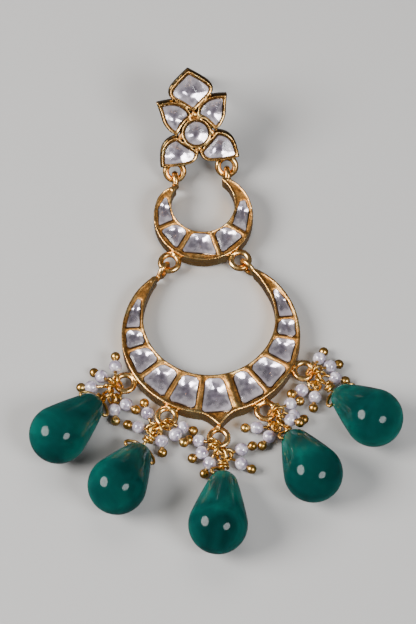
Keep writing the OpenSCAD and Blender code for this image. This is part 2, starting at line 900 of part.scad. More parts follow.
// wire of radius r swept along a path, with the given number of sides
module swept_wire(path, r, sides) {
  n = len(path);
  tangents = [for (i = [0:n - 1]) unit(path[min(i + 1, n - 1)] - path[max(i - 1, 0)])];
  first = unit(cross(tangents[0], [0.31, 0.17, 0.94]));
  normals = [for (i = 0, u = first; i < n;
    i = i + 1, u = i < n ? unit(u - (u * tangents[i]) * tangents[i]) : u) u];
  points = [for (i = [0:n - 1]) for (j = [0:sides - 1])
    let (a = j * 360 / sides)
    path[i] + r * (cos(a) * normals[i] + sin(a) * cross(tangents[i], normals[i]))];
  faces = concat(
    [[for (j = [sides - 1:-1:0]) j]],
    [for (i = [0:n - 2]) for (j = [0:sides - 1])
      let (a = i * sides + j, b = i * sides + (j + 1) % sides)
      [a, b, b + sides, a + sides]],
    [[for (j = [0:sides - 1]) (n - 1) * sides + j]]
  );
  polyhedron(points = points, faces = [for (f = faces) [for (i = [len(f) - 1:-1:0]) f[i]]]);
}

module drop_wire(k) {
  color("gold")
    swept_wire(wire_path(k), drop_wire_r, wire_sides);
}

module placed() {
  translate(shift)
    children();
}

placed() top_setting();
placed() ear_post();
for (i = [1:6])
  placed() top_stone(i - 1);
placed() small_crescent();
for (i = [1:5])
  placed() small_stone(i - 1);
placed() large_crescent();
for (i = [1:11])
  placed() large_stone(i - 1);
for (i = [1:5]) {
  placed() jump_ring(i - 1);
  placed() pearl_pins(i - 1);
  placed() pearls(i - 1);
  placed() drop_wire(i - 1);
  placed() drop(i - 1);
}
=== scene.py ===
import math
import random

import bmesh
import bpy
from mathutils import Matrix, Vector, kdtree, noise


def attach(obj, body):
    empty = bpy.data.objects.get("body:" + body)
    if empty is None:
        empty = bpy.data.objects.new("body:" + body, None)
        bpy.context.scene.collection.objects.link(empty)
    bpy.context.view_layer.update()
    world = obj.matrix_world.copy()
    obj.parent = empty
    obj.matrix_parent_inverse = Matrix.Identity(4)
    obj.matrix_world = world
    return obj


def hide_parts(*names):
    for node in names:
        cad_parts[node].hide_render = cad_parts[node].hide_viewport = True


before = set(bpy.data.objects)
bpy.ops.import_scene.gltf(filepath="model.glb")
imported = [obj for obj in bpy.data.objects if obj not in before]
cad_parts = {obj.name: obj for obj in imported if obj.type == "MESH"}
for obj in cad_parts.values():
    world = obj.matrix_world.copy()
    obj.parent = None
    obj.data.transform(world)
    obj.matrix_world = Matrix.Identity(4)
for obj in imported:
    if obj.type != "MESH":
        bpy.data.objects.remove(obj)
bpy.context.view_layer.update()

# Camera
# It looks down at the earring from the photograph's angle, through a long lens. The earring's sizes are
# in millimetres and its places are counted from ORIGIN. MM turns both into the frame's metres.
MM = 0.001
ORIGIN = Vector((0.62, -0.45, 0.0))
CAMERA_AZIMUTH = -4.8
CAMERA_ELEVATION = 61.0
CAMERA_DISTANCE = 480.0
FILM_HEIGHT = 36.0
FOCAL_LENGTH_PIXELS = 2880.0
PICTURE_HEIGHT_PIXELS = 624.0


def towards(azimuth, elevation):
    """Direction seen from the earring, in degrees from its lower end round to its right, and upwards."""
    a, e = math.radians(azimuth), math.radians(elevation)
    return Vector((math.sin(a) * math.cos(e), -math.cos(a) * math.cos(e), math.sin(e)))


camera_side = towards(CAMERA_AZIMUTH, CAMERA_ELEVATION)
camera_data = bpy.data.cameras.new("camera")
camera_data.sensor_fit = "VERTICAL"
camera_data.sensor_height = FILM_HEIGHT
camera_data.lens = FILM_HEIGHT * FOCAL_LENGTH_PIXELS / PICTURE_HEIGHT_PIXELS
camera_data.clip_start = 0.01
camera_data.clip_end = 20.0
camera = bpy.data.objects.new("camera", camera_data)
bpy.context.scene.collection.objects.link(camera)
camera.location = (ORIGIN + camera_side * CAMERA_DISTANCE) * MM
camera.rotation_euler = camera_side.to_track_quat("Z", "Y").to_euler()
bpy.context.scene.camera = camera

# Table and light
# A plain pale table top, a large soft box on the left, a smaller one in front on the right, and a broad
# dim one behind, all sized in metres. The table and the box behind stay out of the reflections.
TABLE_COLOUR = (0.47, 0.465, 0.455, 1.0)
TABLE_SIZE = 3.0
TABLE_GAP = 0.00003
SOFT_BOXES = (
    # name, azimuth, elevation, distance, width, height, power, colour, mirrored
    ("main box", -86, 38, 0.7, 0.44, 0.38, 9.0, (1.0, 0.98, 0.96), True),
    ("front box", 42, 43, 0.7, 0.34, 0.28, 4.2, (0.96, 0.98, 1.0), True),
    ("back box", 170, 55, 0.9, 0.7, 0.5, 2.4, (1.0, 0.97, 0.94), False),
)
ROOM_COLOUR = (0.55, 0.54, 0.57, 1.0)
ROOM_STRENGTH = 0.2


def new_material(name):
    mat = bpy.data.materials.new(name)
    mat.use_nodes = True
    return mat, mat.node_tree.nodes, mat.node_tree.links, mat.node_tree.nodes["Principled BSDF"]


def ramp(nodes, links, value, stops):
    """Turns a value into greys or colours, from rows of position and grey or colour."""
    node = nodes.new("ShaderNodeValToRGB")
    links.new(value, node.inputs["Fac"])
    band = node.color_ramp.elements
    band.remove(band[1])
    band[0].position = stops[0][0]
    for position, _ in stops[1:]:
        band.new(position)
    for element, (_, colour) in zip(band, stops):
        element.color = (*colour, 1.0) if isinstance(colour, tuple) else (colour, colour, colour, 1.0)
    return node.outputs["Color"]


def texture(nodes, links, kind, scale, **settings):
    """A procedural texture that lies still in the object's own space."""
    where = nodes.new("ShaderNodeTexCoord")
    node = nodes.new(kind)
    node.inputs["Scale"].default_value = scale
    for key, value in settings.items():
        node.inputs[key].default_value = value
    links.new(where.outputs["Object"], node.inputs["Vector"])
    return node


def bump(nodes, links, height, distance, strength=1.0, under=None):
    node = nodes.new("ShaderNodeBump")
    node.inputs["Distance"].default_value = distance
    node.inputs["Strength"].default_value = strength
    links.new(height, node.inputs["Height"])
    if under:
        links.new(under, node.inputs["Normal"])
    return node.outputs["Normal"]


table_mat, nodes, links, shader = new_material("pale table")
shader.inputs["Base Color"].default_value = TABLE_COLOUR
grain = texture(nodes, links, "ShaderNodeTexNoise", 60.0, Detail=4.0)
links.new(ramp(nodes, links, grain.outputs["Fac"], [(0.3, 0.42), (0.7, 0.5)]), shader.inputs["Roughness"])
bpy.ops.mesh.primitive_plane_add(size=TABLE_SIZE, location=(0, 0, -TABLE_GAP))
table = bpy.context.object
table.name = "table"
table.data.materials.append(table_mat)
table.visible_glossy = False

for name, azimuth, elevation, distance, width, height, power, colour, mirrored in SOFT_BOXES:
    data = bpy.data.lights.new(name, "AREA")
    data.shape = "ELLIPSE"
    data.size = width
    data.size_y = height
    data.energy = power
    data.color = colour
    lamp = bpy.data.objects.new(name, data)
    bpy.context.scene.collection.objects.link(lamp)
    side = towards(azimuth, elevation)
    lamp.location = side * distance
    lamp.rotation_euler = side.to_track_quat("Z", "Y").to_euler()
    lamp.visible_glossy = mirrored

room = bpy.data.worlds.new("studio")
room.use_nodes = True
room.node_tree.nodes["Background"].inputs["Color"].default_value = ROOM_COLOUR
room.node_tree.nodes["Background"].inputs["Strength"].default_value = ROOM_STRENGTH
bpy.context.scene.world = room

# Large crescent
# A shallow box of gold-plated brass with raised rims. Gold foil is pressed down between its stones. A
# point, five rings round the rim and two loops on the arms are soldered on.
LEVEL = Matrix.Identity(4)
FOIL_Z = 2.55
GIRDLE_RISE = 0.08
LARGE_HUB = ORIGIN + Vector((0, -4, 0))
LARGE_CENTRE = ORIGIN + Vector((0, -5.6, 0))
LARGE_FOIL_R = 14.5
LARGE_OPENING_CENTRE = ORIGIN + Vector((0, -2.3, 0))
LARGE_OPENING_R = 11.1
LARGE_DIVIDERS = (
    # heading, half width
    (-92, 0.27), (-75.5, 0.32), (-55, 0.42), (-33, 0.46), (-12, 0.5),
    (12, 0.82), (33, 0.46), (55, 0.42), (75.5, 0.32), (92, 0.27),
)
RIDGE_WIDTH = 0.85
RIDGE_SINK = 0.62
RING_R = 1.5
RING_SIDES = 14
LARGE_RING_Z = 1.4
LARGE_RING_WIRE_R = 0.5
CLUSTERS = (
    # ring angle, ring reach, roll of the loose ring, heading of its pull
    (-63.6, 16.45, -50, -54),
    (-30.9, 16.4, 50, -38),
    (-0.9, 18.6, -50, 3),
    (28.6, 16.3, 50, 39),
    (62.9, 16.45, 50, 47),
)
LARGE_STONES = ["large_stone_%d" % i for i in range(1, 12)]


def blend(nodes, links, kind, factor, a, b):
    node = nodes.new("ShaderNodeMix")
    node.data_type = "RGBA"
    node.blend_type = kind
    if isinstance(factor, float):
        node.inputs["Factor"].default_value = factor
    else:
        links.new(factor, node.inputs["Factor"])
    links.new(a, node.inputs[6])
    links.new(b, node.inputs[7])
    return node.outputs[2]


def mark(nodes, name):
    """Reads a value that a mesh carries at its corners."""
    node = nodes.new("ShaderNodeAttribute")
    node.attribute_name = name
    return node.outputs


def gold(name, low, middle, high, rough, grain_size, grain_depth, foil=False):
    """Old gold plating in three tones with fine pits, painted shade in its recesses and a painted highlight
    on its raised edges.
    With foil it also turns orange, crumpled and duller in the foil, with painted shade in the crumple's low
    spots and painted shade low down below the foil near the stones."""
    mat, nodes, links, shader = new_material(name)
    shader.inputs["Metallic"].default_value = 1.0
    patches = texture(nodes, links, "ShaderNodeTexNoise", 420.0, Detail=6.0, Roughness=0.62)
    tone = ramp(nodes, links, patches.outputs["Fac"], [(0.28, low), (0.5, middle), (0.72, high)])
    if foil:
        rim = mark(nodes, "rim")["Fac"]
        sunk = ramp(nodes, links, patches.outputs["Fac"], [
            (0.30, (0.62, 0.25, 0.05)), (0.5, (0.92, 0.43, 0.11)), (0.70, (1.0, 0.60, 0.20)),
        ])
        crumple = texture(nodes, links, "ShaderNodeTexNoise", 2900.0, Detail=4.0, Roughness=0.7)
        # Painted shade: the crumple's low spots darken the foil's colour, as shade in its creases.
        painted_crease_shade = ramp(nodes, links, crumple.outputs["Fac"], [(0.36, 0.42), (0.52, 1.0)])
        sunk = blend(nodes, links, "MULTIPLY", 1.0, sunk, painted_crease_shade)
        tone = blend(nodes, links, "MIX", rim, sunk, tone)
        # Painted shade: the colour darkens the further a spot lies below the foil near the stones.
        painted_deep_darkening = ramp(nodes, links, mark(nodes, "painted_deep_shade")["Fac"], [(0.0, 1.0), (1.0, 0.3)])
        tone = blend(nodes, links, "MULTIPLY", 1.0, tone, painted_deep_darkening)
    form = nodes.new("ShaderNodeNewGeometry")
    # Painted shade and highlight: recesses darken the colour, and raised edges keep it brightest.
    painted_shade_and_edge_light = ramp(nodes, links, form.outputs["Pointiness"], [(0.40, 0.12), (0.48, 0.5), (0.512, 1.0)])
    links.new(blend(nodes, links, "MULTIPLY", 1.0, tone, painted_shade_and_edge_light), shader.inputs["Base Color"])
    fine = texture(nodes, links, "ShaderNodeTexNoise", grain_size, Detail=3.0)
    sheen = ramp(nodes, links, fine.outputs["Fac"], [(0.3, rough), (0.7, rough + 0.14)])
    if foil:
        satin = ramp(nodes, links, fine.outputs["Fac"], [(0.3, rough + 0.14), (0.7, rough + 0.34)])
        sheen = blend(nodes, links, "MIX", rim, satin, sheen)
    links.new(sheen, shader.inputs["Roughness"])
    pits = texture(nodes, links, "ShaderNodeTexVoronoi", grain_size * 0.7)
    relief = bump(nodes, links, fine.outputs["Fac"], grain_depth)
    if foil:
        in_foil = ramp(nodes, links, rim, [(0.0, 1.0), (1.0, 0.12)])
        folds = blend(nodes, links, "MULTIPLY", 1.0, crumple.outputs["Fac"], in_foil)
        relief = bump(nodes, links, folds, 0.0001, under=relief)
    relief = bump(nodes, links, pits.outputs["Distance"], grain_depth * 0.7, under=relief)
    links.new(relief, shader.inputs["Normal"])
    return mat


setting_gold = gold("setting gold", (0.72, 0.34, 0.08), (0.94, 0.53, 0.17), (1.0, 0.79, 0.35),
                    rough=0.2, grain_size=1500.0, grain_depth=0.00002, foil=True)


def bridge(bm, rings):
    """Joins each ring of corners to the next with four-sided faces."""
    count = len(rings[0])
    for a, b in zip(rings, rings[1:]):
        for j in range(count):
            bm.faces.new((a[j], a[(j + 1) % count], b[(j + 1) % count], b[j]))


def tube(bm, path, radius, sides, closed=False):
    """Sweeps a round wire along a path. Its radius is a number, or a function of the way along."""
    count = len(path)
    rings = []
    normal = None
    for i, p in enumerate(path):
        if closed:
            along = path[(i + 1) % count] - path[i - 1]
        else:
            along = path[min(i + 1, count - 1)] - path[max(i - 1, 0)]
        along.normalize()
        if normal is None:
            normal = along.cross(Vector((0.31, 0.17, 0.94)))
        normal = (normal - normal.dot(along) * along).normalized()
        side = along.cross(normal)
        r = radius(i / max(1, count - 1)) if callable(radius) else radius
        rings.append([bm.verts.new(p + r * (math.cos(t) * normal + math.sin(t) * side))
                      for t in (2 * math.pi * j / sides for j in range(sides))])
    if closed:
        first, last = rings[0], rings[-1]
        shift = min(range(sides), key=lambda s: (last[0].co - first[s].co).length)
        rings.append(first[shift:] + first[:shift])
    bridge(bm, rings)
    if not closed:
        bm.faces.new(rings[0][::-1])
        bm.faces.new(rings[-1])


def finished(bm, name, mat, node):
    """Turns millimetre mesh data into a piece that stands for one node of the frame."""
    bmesh.ops.recalc_face_normals(bm, faces=bm.faces)
    for v in bm.verts:
        v.co *= MM
    mesh = bpy.data.meshes.new(name)
    bm.to_mesh(mesh)
    bm.free()
    for polygon in mesh.polygons:
        polygon.use_smooth = True
    mesh.materials.append(mat)
    piece = bpy.data.objects.new(name, mesh)
    bpy.context.scene.collection.objects.link(piece)
    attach(piece, "root")
    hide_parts(node)
    return piece


def girdle_of(node, back, foil):
    """Middle and outline of a stone where it leaves the foil, in its setting's own plane."""
    ring = {}
    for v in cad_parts[node].data.vertices:
        p = back @ (v.co / MM)
        if abs(p.z - foil - GIRDLE_RISE) < 0.02:
            ring[(round(p.x, 3), round(p.y, 3))] = Vector((p.x, p.y))
    middle = sum(ring.values(), Vector((0, 0))) / len(ring)
    girdle = sorted(ring.values(), key=lambda p: math.atan2(p.y - middle.y, p.x - middle.x))
    return middle, [p for i, p in enumerate(girdle) if (p - girdle[i - 1]).length > 0.02]


def resample(points, spacing, rounds):
    """Even points along a closed outline, with its corners eased."""
    out = []
    for a, b in zip(points, points[1:] + points[:1]):
        steps = max(1, round((b - a).length / spacing))
        out += [a.lerp(b, i / steps) for i in range(steps)]
    for _ in range(rounds):
        out = [(out[i - 1] + out[i] * 2 + out[(i + 1) % len(out)]) / 4 for i in range(len(out))]
    return out


def melted(node, add_parts, voxel, rounds):
    """One closed mesh of a node's solid and some added parts, with its edges softened."""
    bm = bmesh.new()
    bm.from_mesh(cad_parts[node].data)
    for v in bm.verts:
        v.co /= MM
    add_parts(bm)
    mesh = bpy.data.meshes.new(node + "_wax")
    bm.to_mesh(mesh)
    bm.free()
    wax = bpy.data.objects.new(node + "_wax", mesh)
    bpy.context.scene.collection.objects.link(wax)
    melt = wax.modifiers.new("melt", "REMESH")
    melt.mode = "VOXEL"
    melt.voxel_size = voxel
    soften = wax.modifiers.new("soften", "SMOOTH")
    soften.factor = 0.5
    soften.iterations = rounds
    result = wax.evaluated_get(bpy.context.evaluated_depsgraph_get()).to_mesh()
    bm = bmesh.new()
    bm.from_mesh(result)
    bpy.data.objects.remove(wax)
    return bm


FOIL_SKIN = 0.1
FACES_AHEAD = 0.3
SPOT_SPACING = 0.15
BAND_SHOULDER = 1.7
BAND_SHADE = 1.6
RIM_FOOT = 0.25
DEEP_SHADE_DEPTH = 0.25
DEEP_SHADE_RAMP = 0.3
DEEP_SHADE_FADE = 0.25
CALM = 0.45
WAVES = (
    # scale, share
    (0.75, 0.7), (2.1, 0.3),
)
NOISE_SEED = 8

# Noise vectors differ from run to run unless they are seeded.
noise.seed_set(NOISE_SEED)


def cast(node, plane, foil, stones, add_parts, voxel, rounds, waver, band, dip, rim_height, step=None):
    """Makes a casting. A band of foil round each stone is burnished down by dip, and the hand's waver
    moves it all a little. The mark rim says how far a spot stands out of the foil, and painted shade,
    darker the further a spot lies below the foil, lies on collars that reach no farther than step from the
    stones."""
    bm = melted(node, add_parts, voxel, rounds)
    rim = bm.verts.layers.float.new("rim")
    painted_deep_shade = bm.verts.layers.float.new("painted_deep_shade")
    back = plane.inverted()
    spots = [p for stone in stones for p in resample(girdle_of(stone, back, foil)[1], SPOT_SPACING, 1)]
    near = kdtree.KDTree(len(spots))
    for i, p in enumerate(spots):
        near.insert((p.x, p.y, 0), i)
    near.balance()
    bm.normal_update()
    ahead = plane.to_3x3() @ Vector((0, 0, 1))
    for v in bm.verts:
        p = back @ v.co
        rise = p.z - foil
        away = near.find((p.x, p.y, 0))[2]
        v[rim] = 1.0
        # Painted shade: darker the further below the foil, fading out beyond step from the stones.
        if step and rise < -DEEP_SHADE_DEPTH:
            fade = min(1.0, max(0.0, (step - away) / DEEP_SHADE_FADE))
            v[painted_deep_shade] = min(1.0, (-DEEP_SHADE_DEPTH - rise) / DEEP_SHADE_RAMP) * fade
        if rise > -FOIL_SKIN - dip:
            slope = max(0.0, 1 - away / band)
            p.z = min(p.z, foil + max(rise, 0.0) - dip * min(1.0, BAND_SHOULDER * slope))
            if v.normal.dot(ahead) > FACES_AHEAD:
                standing = (rise - RIM_FOOT * rim_height) / rim_height - BAND_SHADE * slope
                v[rim] = min(1.0, max(0.0, standing))
            v.co = plane @ p
        shift = sum((noise.noise_vector(v.co * scale) * share for scale, share in WAVES), Vector())
        v.co += shift * waver * (CALM if v[rim] > 0.9 else 1.0)
        v.co.z = max(v.co.z, 0.0)
    return bm


def heading(a):
    """Level direction, in degrees from the earring's lower end round to its right."""
    return Vector((math.sin(math.radians(a)), -math.cos(math.radians(a)), 0.0))


def leaves(start, way, centre, radius):
    """Where a line from inside a circle leaves it."""
    to_centre = centre - start
    along = to_centre.dot(way)
    return start + way * (along + math.sqrt(along * along - to_centre.dot(to_centre) + radius * radius))


def circle(centre, radius, plane, count=40):
    turns = (2 * math.pi * i / count for i in range(count))
    return [plane @ (centre + radius * Vector((math.cos(t), math.sin(t), 0))) for t in turns]


def large_parts(bm):
    """Burnished ridges of foil between the stones, and the five stout rings."""
    rng = random.Random(11)
    for a, half in LARGE_DIVIDERS:
        way = heading(a)
        start = leaves(LARGE_HUB, way, LARGE_OPENING_CENTRE, LARGE_OPENING_R)
        end = leaves(LARGE_HUB, way, LARGE_CENTRE, LARGE_FOIL_R)
        r = RIDGE_WIDTH * half
        path = []
        for i in range(13):
            p = start.lerp(end, i / 12)
            side = Vector((way.y, -way.x, 0)) * rng.uniform(-0.03, 0.03)
            path.append(Vector((p.x, p.y, FOIL_Z - RIDGE_SINK * r)) + side)
        tube(bm, path, lambda t: r * (1 + 0.12 * math.sin(9 * t + a)), 10)
    for angle, reach, _, _ in CLUSTERS:
        centre = LARGE_CENTRE + reach * heading(angle) + Vector((0, 0, LARGE_RING_Z))
        tube(bm, circle(centre, RING_R, LEVEL), LARGE_RING_WIRE_R, RING_SIDES, closed=True)


large_casting = cast("large_crescent", LEVEL, FOIL_Z, LARGE_STONES, large_parts,
                     voxel=0.13, rounds=8, waver=0.035, band=0.3, dip=0.08, rim_height=0.16)
finished(large_casting, "large_crescent_setting", setting_gold, "large_crescent")

# Stones
# Clear cut glass with a crowned table and shallow facets, held by the gold pressed against its girdle.
# Bright foil lies dished under it, and the foil's slopes decide which light the stone shows.
CROWN = 0.85
CROWN_POWER = 2.4
LEAST_HEIGHT = 0.05
OUTLINE_SPACING = 0.13
FACET_JITTER = 0.2
FACET_REACH = (0.2, 0.4)
FACET_SLOPE = (14, 26)
FACET_TILT = 0.45
WRINKLE = 0.22
GIRDLE_DEPTH = 0.5
GIRDLE_TOP = 0.02
GIRDLE_LEVELS = [1.0, 0.985, 0.96, 0.93, 0.9, 0.86, 0.82, 0.77]
TABLE_LEVELS = [0.72 * (1 - i / 11) for i in range(11)]

glass_mat, nodes, links, shader = new_material("foiled glass")
shader.inputs["Coat Weight"].default_value = 0.6
shader.inputs["Coat Roughness"].default_value = 0.05
shader.inputs["Coat IOR"].default_value = 1.5
edge = mark(nodes, "edge")["Fac"]
clouds = texture(nodes, links, "ShaderNodeTexNoise", 700.0, Detail=3.0)
tint = ramp(nodes, links, clouds.outputs["Fac"], [(0.3, (0.86, 0.80, 0.87)), (0.7, (1.0, 0.97, 0.99))])
# Painted light and shade of the foil: the middle is painted dark and the ring near the girdle bright; the
# last stop is a dark seam at the girdle.
shade = ramp(nodes, links, edge, [
    (0.0, (0.34, 0.31, 0.36)), (0.22, (0.56, 0.52, 0.59)), (0.42, (0.76, 0.72, 0.79)),
    (0.70, (0.98, 0.93, 0.98)), (0.93, (1.0, 0.96, 1.0)), (1.0, (0.42, 0.30, 0.20)),
])
mirror = ramp(nodes, links, edge, [(0.0, 0.86), (0.45, 0.84), (0.85, 0.60), (1.0, 0.5)])
links.new(mirror, shader.inputs["Metallic"])
links.new(blend(nodes, links, "MULTIPLY", 1.0, tint, shade), shader.inputs["Base Color"])
links.new(mark(nodes, "foil")["Vector"], shader.inputs["Normal"])
links.new(ramp(nodes, links, clouds.outputs["Fac"], [(0.3, 0.18), (0.7, 0.30)]), shader.inputs["Roughness"])


def gem(node, plane, foil, rise, seed, facets=7, depth=1.0, lean=(0.0, 0.0)):
    """A crowned, lightly facetted stone on the outline of the node's own girdle. Depth and lean are those
    of the foil's dish."""
    rng = random.Random(seed)
    turn = plane.to_3x3()
    middle, girdle = girdle_of(node, plane.inverted(), foil)
    outline = resample(girdle, OUTLINE_SPACING, 3)
    planes = []
    start = rng.uniform(0, math.pi)
    for i in range(facets):
        a = start + (i + rng.uniform(-FACET_JITTER, FACET_JITTER)) * 2 * math.pi / facets
        out = Vector((math.cos(a), math.sin(a)))
        side = max((p - middle).dot(out) for p in outline)
        at = side * rng.uniform(*FACET_REACH)
        planes.append((out, at, math.tan(math.radians(rng.uniform(*FACET_SLOPE)))))

    def height(p, s):
        z = rise * (1 - CROWN * s ** CROWN_POWER)
        for out, at, slope in planes:
            z = min(z, rise - slope * ((p - middle).dot(out) - at))
        return foil + max(z, LEAST_HEIGHT)

    def dished(p, s):
        away = (p - middle).normalized() if s else Vector((0, 0))
        tilt = Vector(lean) - depth * min(1.3 * s, 0.55 + 0.2 * s) * away
        out, at, slope = max(planes, key=lambda cut: (p - middle).dot(cut[0]) - cut[1])
        if (p - middle).dot(out) > at:
            tilt -= FACET_TILT * slope * out
        wrinkle = noise.noise_vector(Vector((p.x, p.y, seed)) * 1.1)
        return (turn @ Vector((tilt.x + WRINKLE * wrinkle.x, tilt.y + WRINKLE * wrinkle.y, 1))).normalized()

    bm = bmesh.new()
    edge_layer = bm.verts.layers.float.new("edge")
    foil_layer = bm.verts.layers.float_vector.new("foil")

    def corner(p, z, s):
        v = bm.verts.new((p.x, p.y, z))
        cloud = 0.3 * noise.noise(Vector((p.x, p.y, seed)) * 1.6)
        v[edge_layer] = s if s > 0.93 else max(0.0, min(0.93, s + cloud))
        v[foil_layer] = dished(p, s)
        return v

    rows = [[corner(p, z, 1.0) for p in outline] for z in (foil - GIRDLE_DEPTH, foil + GIRDLE_TOP)]
    for s in GIRDLE_LEVELS + TABLE_LEVELS:
        spots = [middle + (p - middle) * s for p in outline]
        rows.append([corner(p, height(p, s), s) for p in spots])
    tip = corner(middle, height(middle, 0.0), 0.0)
    bridge(bm, rows)
    count = len(outline)
    for j in range(count):
        bm.faces.new((rows[-1][j], rows[-1][(j + 1) % count], tip))
    bm.faces.new(rows[0][::-1])
    for v in bm.verts:
        v.co = plane @ v.co
    return finished(bm, "cut_" + node, glass_mat, node)


for i, stone in enumerate(LARGE_STONES):
    gem(stone, LEVEL, FOIL_Z, 0.62, 21 + i)

# Small crescent
# The same work in gold at half the size. Two rings soldered below take the large crescent's loops, and a
# link on each arm hooks into a ring of the flower.
SMALL_HINGE_Y = 8.8
SMALL_HINGE_Z = 1.7
SMALL_TILT = math.radians(4)
SMALL_FOIL_Z = FOIL_Z - 1.4
SMALL_HUB = Vector((0.65, 17.8, 0))
SMALL_CENTRE = Vector((0.62, 16.8, 0))
SMALL_FOIL_R = 8.15
SMALL_OPENING_CENTRE = Vector((0.74, 19.04, 0))
SMALL_OPENING_R = 5.5
SMALL_DIVIDERS = (-70, -33, 14, 53)
SMALL_RIDGE_R = 0.36
SMALL_RIDGE_SINK = 0.22
SMALL_RINGS = ((-5.7, 9.02), (6.1, 8.5))
SMALL_RING_WIRE_R = 0.51
LINK_R = 1.15
LINK_WIRE_R = 0.53
LINK_SHIFT = Vector((0, -0.25, 0.2))
SMALL_STONES = ["small_stone_%d" % i for i in range(1, 6)]
FLOWER_AT = Vector((1.04, 26.48, 2.28))
FLOWER_TILT = math.radians(42)
FLOWER_LEAN = math.radians(3.8)
FLOWER_RINGS = ((-4.5, 0.35), (4.4, 0.0))

small_plane = (Matrix.Translation(ORIGIN + Vector((0, SMALL_HINGE_Y, SMALL_HINGE_Z)))
               @ Matrix.Rotation(SMALL_TILT, 4, "X") @ Matrix.Translation((0, -SMALL_HINGE_Y, 0)))
flower_plane = (Matrix.Translation(ORIGIN + FLOWER_AT)
                @ Matrix.Rotation(FLOWER_TILT, 4, "X") @ Matrix.Rotation(FLOWER_LEAN, 4, "Z"))
flower_slope = Vector((0, math.cos(FLOWER_TILT), math.sin(FLOWER_TILT)))


def small_parts(bm):
    """Ridges of foil, the two soldered rings, and the two upright loops of the links."""
    rng = random.Random(5)
    for a in SMALL_DIVIDERS:
        way = heading(a)
        start = leaves(SMALL_HUB, way, SMALL_OPENING_CENTRE, SMALL_OPENING_R)
        end = leaves(SMALL_HUB, way, SMALL_CENTRE, SMALL_FOIL_R)
        path = []
        for i in range(11):
            p = start.lerp(end, i / 10) + Vector((way.y, -way.x, 0)) * rng.uniform(-0.025, 0.025)
            path.append(small_plane @ Vector((p.x, p.y, SMALL_FOIL_Z - SMALL_RIDGE_SINK)))
        tube(bm, path, SMALL_RIDGE_R, 10)
    for x, y in SMALL_RINGS:
        tube(bm, circle(Vector((x, y, 0)), RING_R, small_plane), SMALL_RING_WIRE_R, RING_SIDES, closed=True)
    for x, y in FLOWER_RINGS:
        hang = flower_plane @ Vector((x, y, 0)) - RING_R * flower_slope + LINK_SHIFT
        upright = Matrix.Translation(hang) @ Matrix.Rotation(math.pi / 2, 4, "Y")
        tube(bm, circle(Vector((0, 0, 0)), LINK_R, upright), LINK_WIRE_R, RING_SIDES, closed=True)


small_casting = cast("small_crescent", small_plane, SMALL_FOIL_Z, SMALL_STONES, small_parts,
                     voxel=0.1, rounds=9, waver=0.03, band=0.25, dip=0.08, rim_height=0.16)
finished(small_casting, "small_crescent_setting", setting_gold, "small_crescent")
for i, stone in enumerate(SMALL_STONES):
    gem(stone, small_plane, SMALL_FOIL_Z, 0.6, 41 + i)

# Flower top
# Six stones in gold collars, soldered side by side into a lotus, with beads of solder in the corners
# between them and two rings below. It leans back on its post.
FLOWER_FOIL = 1.3
FLOWER_BEADS = ((-2.55, 6.3), (2.55, 6.3), (0, 3.85), (-0.9, 9.1), (0.9, 9.1), (0, 9.75))
BEAD_R = 0.58
BEAD_Z = 0.85
FLOWER_RING_WIRE_R = 0.54
TOP_STONES = ["top_stone_%d" % i for i in range(1, 7)]


def flower_parts(bm):
    for x, y in FLOWER_BEADS:
        place = flower_plane @ Matrix.Translation((x, y, BEAD_Z))
        bmesh.ops.create_uvsphere(bm, u_segments=12, v_segments=8, radius=BEAD_R, matrix=place)
    for x, y in FLOWER_RINGS:
        tube(bm, circle(Vector((x, y, 0)), RING_R, flower_plane), FLOWER_RING_WIRE_R, RING_SIDES, closed=True)


flower_casting = cast("top_setting", flower_plane, FLOWER_FOIL, TOP_STONES, flower_parts,
                      voxel=0.1, rounds=9, waver=0.018, band=0.38, dip=0.24, rim_height=0.05, step=1.15)
finished(flower_casting, "flower_setting", setting_gold, "top_setting")
for i, stone in enumerate(TOP_STONES):
    gem(stone, flower_plane, FLOWER_FOIL, 0.7, 61 + i, facets=6, depth=0.68, lean=(-0.2, 0.06))

# Ear post
# A plain gold-plated pin turned in one piece with its pad, which is soldered to the flower's back. A
# groove near the pin's tip keeps its clutch on.
POST_AT = (2.0, 13.5)
FLOWER_BACK = -1.4
POST_LENGTH = 13.35
POST_PROFILE = (
    # radius, height
    (0, 0), (1.5, 0), (1.5, 0.24), (1.44, 0.31), (1.2, 0.36), (0.85, 0.5), (0.66, 0.72), (0.62, 0.95),
    (0.62, POST_LENGTH - 2.3), (0.53, POST_LENGTH - 2.15), (0.53, POST_LENGTH - 1.8),
    (0.62, POST_LENGTH - 1.65), (0.62, POST_LENGTH - 0.55), (0.56, POST_LENGTH - 0.3),
    (0.4, POST_LENGTH - 0.1), (0.2, POST_LENGTH), (0, POST_LENGTH),
)
wire_gold = gold("wire gold", (0.42, 0.20, 0.04), (0.68, 0.39, 0.10), (0.98, 0.70, 0.25),
                 rough=0.24, grain_size=2600.0, grain_depth=0.00001)


def turned(bm, profile, place, sides):
    """Lathe work from rows of radius and height. The first and last rows are points on the axis."""
    rings = []
    for r, h in profile[1:-1]:
        rings.append([bm.verts.new(place @ Vector((r * math.cos(t), r * math.sin(t), h)))
                      for t in (2 * math.pi * j / sides for j in range(sides))])
    ends = [bm.verts.new(place @ Vector((0, 0, profile[k][1]))) for k in (0, -1)]
    bridge(bm, rings)
    for j in range(sides):
        bm.faces.new((ends[0], rings[0][(j + 1) % sides], rings[0][j]))
        bm.faces.new((ends[1], rings[-1][j], rings[-1][(j + 1) % sides]))


post_place = flower_plane @ Matrix.Translation((*POST_AT, FLOWER_BACK)) @ Matrix.Rotation(math.pi, 4, "X")
bm = bmesh.new()
turned(bm, POST_PROFILE, post_place, 32)
finished(bm, "turned_post", wire_gold, "ear_post")

